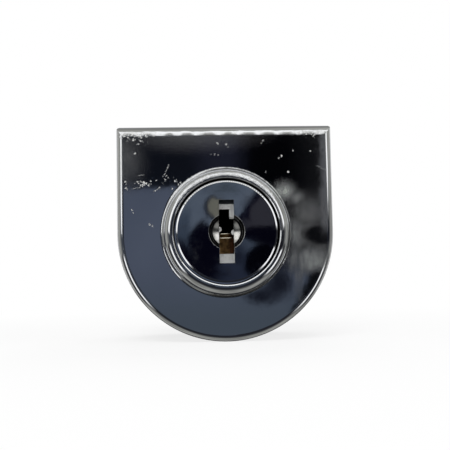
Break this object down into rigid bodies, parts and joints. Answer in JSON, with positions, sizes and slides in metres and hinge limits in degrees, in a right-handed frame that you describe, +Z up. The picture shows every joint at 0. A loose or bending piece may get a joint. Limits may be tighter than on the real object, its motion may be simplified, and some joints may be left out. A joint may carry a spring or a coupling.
{
  "type": "glass cabinet door lock",
  "caption": "D-shaped chrome cylinder lock that clamps over the edge of a glass cabinet door; a quarter turn of the key raises a flat bolt out of its straight edge.",
  "frame": {"origin": "where the cylinder's axis meets the front surface of the glass pane, on the rear face of the front pad", "axes": "+Z up to the straight edge that the bolt leaves, +Y along the cylinder's axis into the cabinet, so the key side faces -Y, and +X to the right seen from the key side"},
  "size_m": [0.035, 0.0279, 0.035],
  "materials": {
    "chrome_housing": "mirror chrome plating on zinc die casting, dusty and lightly scratched",
    "chrome_cap": "mirror chrome plating",
    "zinc_plug": "plated zinc die casting, satin",
    "brass_wafer": "stamped brass",
    "spring_steel": "bright spring wire",
    "clip_steel": "dark spring steel",
    "bolt_plate": "nickel-plated, satin",
    "cover_steel": "zinc-plated sheet",
    "screw_steel": "zinc-plated",
    "screw_chrome": "nickel-plated",
    "pad_rubber": "matt black rubber"
  },
  "bodies": {
    "housing": {"front_housing": "chrome_housing", "bolt_cover": "cover_steel", "cover_screws": "screw_steel", "front_pad": "pad_rubber", "rear_pad": "pad_rubber", "edge_pad": "pad_rubber", "back_plate": "chrome_housing", "clamp_screws": "screw_chrome"},
    "cylinder": {"plug": "zinc_plug", "plug_cap": "chrome_cap", "retaining_clip": "clip_steel", "wafer_spring_1": "spring_steel", "wafer_spring_2": "spring_steel", "wafer_spring_3": "spring_steel", "wafer_spring_4": "spring_steel", "wafer_spring_5": "spring_steel"},
    "bolt_body": {"bolt": "bolt_plate"},
    "wafer_body_1": {"wafer_1": "brass_wafer"},
    "wafer_body_2": {"wafer_2": "brass_wafer"},
    "wafer_body_3": {"wafer_3": "brass_wafer"},
    "wafer_body_4": {"wafer_4": "brass_wafer"},
    "wafer_body_5": {"wafer_5": "brass_wafer"}
  },
  "joints": [
    {"name": "plug_turn", "type": "hinge", "parent": "housing", "child": "cylinder", "pos_m": [0, 0, 0], "axis": [0, 1, 0], "range_deg": [0, 90]},
    {"name": "bolt_slide", "type": "slide", "parent": "housing", "child": "bolt_body", "axis": [0, 0, 1], "range_m": [0, 0.006]},
    {"name": "wafer_1_slide", "type": "slide", "parent": "cylinder", "child": "wafer_body_1", "axis": [0, 0, 1], "range_m": [-0.001, 0.0009], "stiffness_N_per_m": 100, "springref_m": 0.003, "deforming": ["wafer_spring_1"]},
    {"name": "wafer_2_slide", "type": "slide", "parent": "cylinder", "child": "wafer_body_2", "axis": [0, 0, 1], "range_m": [-0.001, 0.0009], "stiffness_N_per_m": 100, "springref_m": 0.003, "deforming": ["wafer_spring_2"]},
    {"name": "wafer_3_slide", "type": "slide", "parent": "cylinder", "child": "wafer_body_3", "axis": [0, 0, 1], "range_m": [-0.001, 0.0009], "stiffness_N_per_m": 100, "springref_m": 0.003, "deforming": ["wafer_spring_3"]},
    {"name": "wafer_4_slide", "type": "slide", "parent": "cylinder", "child": "wafer_body_4", "axis": [0, 0, 1], "range_m": [-0.001, 0.0009], "stiffness_N_per_m": 100, "springref_m": 0.003, "deforming": ["wafer_spring_4"]},
    {"name": "wafer_5_slide", "type": "slide", "parent": "cylinder", "child": "wafer_body_5", "axis": [0, 0, 1], "range_m": [-0.001, 0.0009], "stiffness_N_per_m": 100, "springref_m": 0.003, "deforming": ["wafer_spring_5"]}
  ],
  "couplings": [
    {"joint": "plug_turn", "follows": "bolt_slide", "rad_per_m": 261.8}
  ]
}
